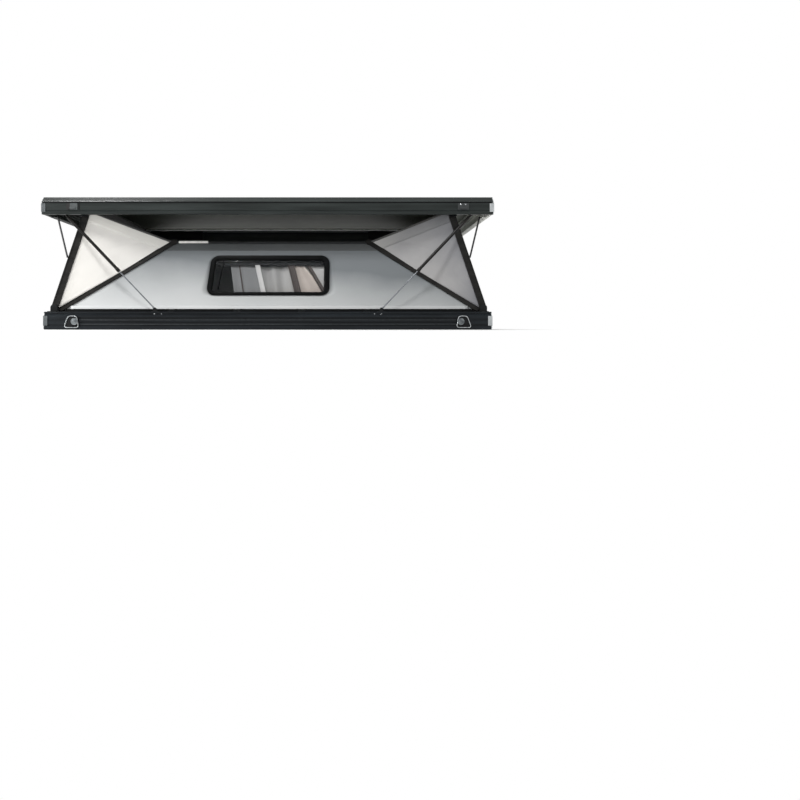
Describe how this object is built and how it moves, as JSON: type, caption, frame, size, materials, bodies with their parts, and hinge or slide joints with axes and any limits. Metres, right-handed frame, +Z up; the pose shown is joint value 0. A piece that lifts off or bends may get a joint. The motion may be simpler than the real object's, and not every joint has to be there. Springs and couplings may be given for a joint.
{
  "type": "pop-up rooftop tent",
  "caption": "Hard-shell rooftop tent, open: base tray and level roof joined by lift arms, gas struts, folding side frames with windows, and fabric walls.",
  "frame": {"origin": "under the middle of the base, on the face it rests on", "axes": "+X towards the vehicle's front, +Z up, -Y is the side in the picture"},
  "size_m": [3.45, 1.618, 1.015],
  "materials": {
    "base_rail_paint": "satin black powder coat",
    "roof_rail_paint": "satin dark grey powder coat",
    "roof_skin": "fine textured dark grey composite skin",
    "floor_board": "matt",
    "grey_plastic": "moulded",
    "black_steel": "satin",
    "bare_steel": "brushed",
    "arm_paint": "satin black powder coat",
    "strut_paint": "semi-gloss",
    "tent_fabric": "coated woven",
    "window_rubber": "moulded",
    "window_glass": "tinted"
  },
  "bodies": {
    "base": {"base_floor": "floor_board", "base_rail_near": "base_rail_paint", "base_rail_far": "base_rail_paint", "base_rail_rear": "base_rail_paint", "base_rail_front": "base_rail_paint", "base_end_caps": "grey_plastic", "arm_brackets": "black_steel", "strut_feet": "black_steel", "frame_hinges": "black_steel", "latches": "bare_steel", "end_wall_rear": "tent_fabric", "end_wall_front": "tent_fabric", "corner_gussets": "tent_fabric"},
    "roof": {"roof_panel": "roof_skin", "roof_rail_near": "roof_rail_paint", "roof_rail_far": "roof_rail_paint", "roof_rail_rear": "roof_rail_paint", "roof_rail_front": "roof_rail_paint", "roof_end_caps": "grey_plastic", "arm_guides": "black_steel", "strut_heads": "black_steel", "latch_keepers": "grey_plastic"},
    "arm_rear_near": {"arm_rear_near": "arm_paint"},
    "arm_rear_far": {"arm_rear_far": "arm_paint"},
    "arm_front_near": {"arm_front_near": "arm_paint"},
    "arm_front_far": {"arm_front_far": "arm_paint"},
    "rod_rear_near": {"rod_rear_near": "bare_steel"},
    "cylinder_rear_near": {"cylinder_rear_near": "strut_paint"},
    "rod_rear_far": {"rod_rear_far": "bare_steel"},
    "cylinder_rear_far": {"cylinder_rear_far": "strut_paint"},
    "rod_front_near": {"rod_front_near": "bare_steel"},
    "cylinder_front_near": {"cylinder_front_near": "strut_paint"},
    "rod_front_far": {"rod_front_far": "bare_steel"},
    "cylinder_front_far": {"cylinder_front_far": "strut_paint"},
    "side_frame_near": {"frame_near_rear_bar": "arm_paint", "frame_near_front_bar": "arm_paint", "frame_near_top_rod": "bare_steel", "frame_near_sill": "arm_paint", "side_wall_near": "tent_fabric", "window_frame_near": "window_rubber", "window_pane_near": "window_glass"},
    "side_frame_far": {"frame_far_rear_bar": "arm_paint", "frame_far_front_bar": "arm_paint", "frame_far_top_rod": "bare_steel", "frame_far_sill": "arm_paint", "side_wall_far": "tent_fabric", "window_frame_far": "window_rubber", "window_pane_far": "window_glass"}
  },
  "joints": [
    {"name": "roof_lift", "type": "slide", "parent": "base", "child": "roof", "axis": [0, 0, 1], "range_m": [-0.73, 0], "deforming": ["end_wall_rear", "end_wall_front", "corner_gussets"]},
    {"name": "arm_rear_near_pivot", "type": "hinge", "parent": "base", "child": "arm_rear_near", "pos_m": [-1.663, -0.712, 0.17], "axis": [0, 1, 0], "range_deg": [0, 79.3]},
    {"name": "arm_rear_far_pivot", "type": "hinge", "parent": "base", "child": "arm_rear_far", "pos_m": [-1.663, 0.712, 0.17], "axis": [0, 1, 0], "range_deg": [0, 79.3]},
    {"name": "arm_front_near_pivot", "type": "hinge", "parent": "base", "child": "arm_front_near", "pos_m": [1.663, -0.712, 0.17], "axis": [0, -1, 0], "range_deg": [0, 79.3]},
    {"name": "arm_front_far_pivot", "type": "hinge", "parent": "base", "child": "arm_front_far", "pos_m": [1.663, 0.712, 0.17], "axis": [0, -1, 0], "range_deg": [0, 79.3]},
    {"name": "rod_rear_near_pivot", "type": "hinge", "parent": "base", "child": "rod_rear_near", "pos_m": [-0.869, -0.75, 0.155], "axis": [0, -1, 0], "range_deg": [0, 46.49]},
    {"name": "cylinder_rear_near_slide", "type": "slide", "parent": "rod_rear_near", "child": "cylinder_rear_near", "axis": [0.6885, 0, -0.7252], "range_m": [0, 0.31355]},
    {"name": "rod_rear_far_pivot", "type": "hinge", "parent": "base", "child": "rod_rear_far", "pos_m": [-0.869, 0.75, 0.155], "axis": [0, -1, 0], "range_deg": [0, 46.49]},
    {"name": "cylinder_rear_far_slide", "type": "slide", "parent": "rod_rear_far", "child": "cylinder_rear_far", "axis": [0.6885, 0, -0.7252], "range_m": [0, 0.31355]},
    {"name": "rod_front_near_pivot", "type": "hinge", "parent": "base", "child": "rod_front_near", "pos_m": [0.869, -0.75, 0.155], "axis": [0, 1, 0], "range_deg": [0, 46.49]},
    {"name": "cylinder_front_near_slide", "type": "slide", "parent": "rod_front_near", "child": "cylinder_front_near", "axis": [-0.6885, 0, -0.7252], "range_m": [0, 0.31355]},
    {"name": "rod_front_far_pivot", "type": "hinge", "parent": "base", "child": "rod_front_far", "pos_m": [0.869, 0.75, 0.155], "axis": [0, 1, 0], "range_deg": [0, 46.49]},
    {"name": "cylinder_front_far_slide", "type": "slide", "parent": "rod_front_far", "child": "cylinder_front_far", "axis": [-0.6885, 0, -0.7252], "range_m": [0, 0.31355]},
    {"name": "side_frame_near_fold", "type": "hinge", "parent": "base", "child": "side_frame_near", "pos_m": [0, -0.69, 0.15], "axis": [-1, 0, 0], "range_deg": [0, 75]},
    {"name": "side_frame_far_fold", "type": "hinge", "parent": "base", "child": "side_frame_far", "pos_m": [0, 0.69, 0.15], "axis": [1, 0, 0], "range_deg": [0, 75]}
  ],
  "couplings": [
    {"joint": "arm_rear_near_pivot", "follows": "roof_lift", "rad_per_m": -1.896},
    {"joint": "arm_rear_far_pivot", "follows": "roof_lift", "rad_per_m": -1.896},
    {"joint": "arm_front_near_pivot", "follows": "roof_lift", "rad_per_m": -1.896},
    {"joint": "arm_front_far_pivot", "follows": "roof_lift", "rad_per_m": -1.896},
    {"joint": "rod_rear_near_pivot", "follows": "roof_lift", "rad_per_m": -1.1115},
    {"joint": "cylinder_rear_near_slide", "follows": "roof_lift", "ratio": -0.42952},
    {"joint": "rod_rear_far_pivot", "follows": "roof_lift", "rad_per_m": -1.1115},
    {"joint": "cylinder_rear_far_slide", "follows": "roof_lift", "ratio": -0.42952},
    {"joint": "rod_front_near_pivot", "follows": "roof_lift", "rad_per_m": -1.1115},
    {"joint": "cylinder_front_near_slide", "follows": "roof_lift", "ratio": -0.42952},
    {"joint": "rod_front_far_pivot", "follows": "roof_lift", "rad_per_m": -1.1115},
    {"joint": "cylinder_front_far_slide", "follows": "roof_lift", "ratio": -0.42952},
    {"joint": "side_frame_near_fold", "follows": "roof_lift", "rad_per_m": -1.7931},
    {"joint": "side_frame_far_fold", "follows": "roof_lift", "rad_per_m": -1.7931}
  ]
}
